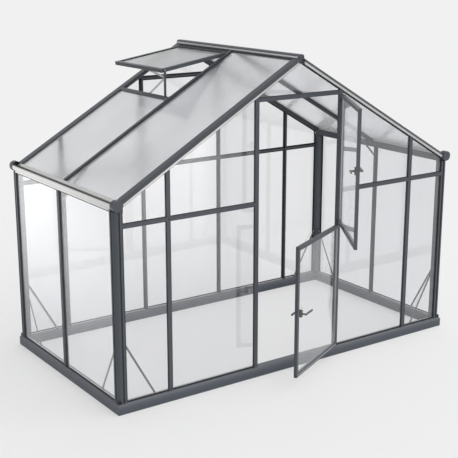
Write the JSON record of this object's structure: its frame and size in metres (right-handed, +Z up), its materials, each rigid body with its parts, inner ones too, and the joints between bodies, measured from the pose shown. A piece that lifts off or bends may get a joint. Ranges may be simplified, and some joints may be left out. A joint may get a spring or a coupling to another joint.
{
  "type": "glass greenhouse",
  "caption": "Small free-standing glass greenhouse: aluminium bar frame, gabled frosted roof with a propped vent, gutters, and a door split into lower and upper leaves standing open.",
  "frame": {"origin": "on the ground under the threshold, in the middle of the base frame's front rail", "axes": "+Z up; the gable with the door faces -Y; the gutters run along Y and the gable runs along X"},
  "size_m": [2.999, 2.2185, 2.2791],
  "materials": {
    "base_coat": "powder coated, satin anthracite",
    "frame_coat": "powder coated, satin anthracite",
    "bare_aluminium": "mill finish, satin",
    "wall_glass": "clear float glass",
    "roof_sheet": "frosted, opal",
    "handle_metal": "satin grey",
    "hinge_metal": "satin black"
  },
  "bodies": {
    "house": {"back_braces": "bare_aluminium", "back_glass": "wall_glass", "back_header": "frame_coat", "back_mullions": "frame_coat", "back_transoms": "frame_coat", "barge_strips": "bare_aluminium", "base_back": "base_coat", "base_front": "base_coat", "base_left": "base_coat", "base_right": "base_coat", "corner_post_back_left": "frame_coat", "corner_post_back_right": "frame_coat", "corner_post_front_left": "frame_coat", "corner_post_front_right": "frame_coat", "door_header": "frame_coat", "door_hinges": "hinge_metal", "door_jamb_left": "frame_coat", "door_jamb_right": "frame_coat", "drip_strips": "bare_aluminium", "front_braces": "bare_aluminium", "front_glass_left": "wall_glass", "front_glass_right": "wall_glass", "front_mullions": "frame_coat", "front_transoms": "frame_coat", "gable_glass_front": "wall_glass", "gutter_end_caps": "frame_coat", "gutter_left": "bare_aluminium", "gutter_right": "bare_aluminium", "knee_braces": "bare_aluminium", "left_braces": "bare_aluminium", "rafter_back_left": "frame_coat", "rafter_back_right": "frame_coat", "rafter_front_left": "frame_coat", "rafter_front_right": "frame_coat", "ridge_beam": "frame_coat", "ridge_cap": "frame_coat", "ridge_end_caps": "frame_coat", "ridge_strips": "bare_aluminium", "right_braces": "bare_aluminium", "roof_bars": "frame_coat", "roof_pane_left_back": "roof_sheet", "roof_pane_left_front": "roof_sheet", "roof_panes_right": "roof_sheet", "side_glass_left": "wall_glass", "side_glass_right": "wall_glass", "side_mullion_left": "frame_coat", "side_mullion_right": "frame_coat", "vent_opener": "bare_aluminium", "vent_pane": "roof_sheet", "vent_sash": "frame_coat", "vent_sill": "frame_coat", "vent_stay": "frame_coat"},
    "lower_leaf": {"lower_leaf_frame": "frame_coat", "lower_leaf_glass": "wall_glass", "lower_leaf_handle": "handle_metal"},
    "upper_leaf": {"upper_leaf_frame": "frame_coat", "upper_leaf_glass": "wall_glass", "upper_leaf_handle": "handle_metal"}
  },
  "joints": [
    {"name": "lower_leaf_hinge", "type": "hinge", "parent": "house", "child": "lower_leaf", "pos_m": [0.366, -0.037, 0.563], "axis": [0, 0, 1], "range_deg": [-26.5, 123.5]},
    {"name": "upper_leaf_hinge", "type": "hinge", "parent": "house", "child": "upper_leaf", "pos_m": [0.366, -0.037, 1.513], "axis": [0, 0, 1], "range_deg": [-57.7, 92.3]}
  ]
}
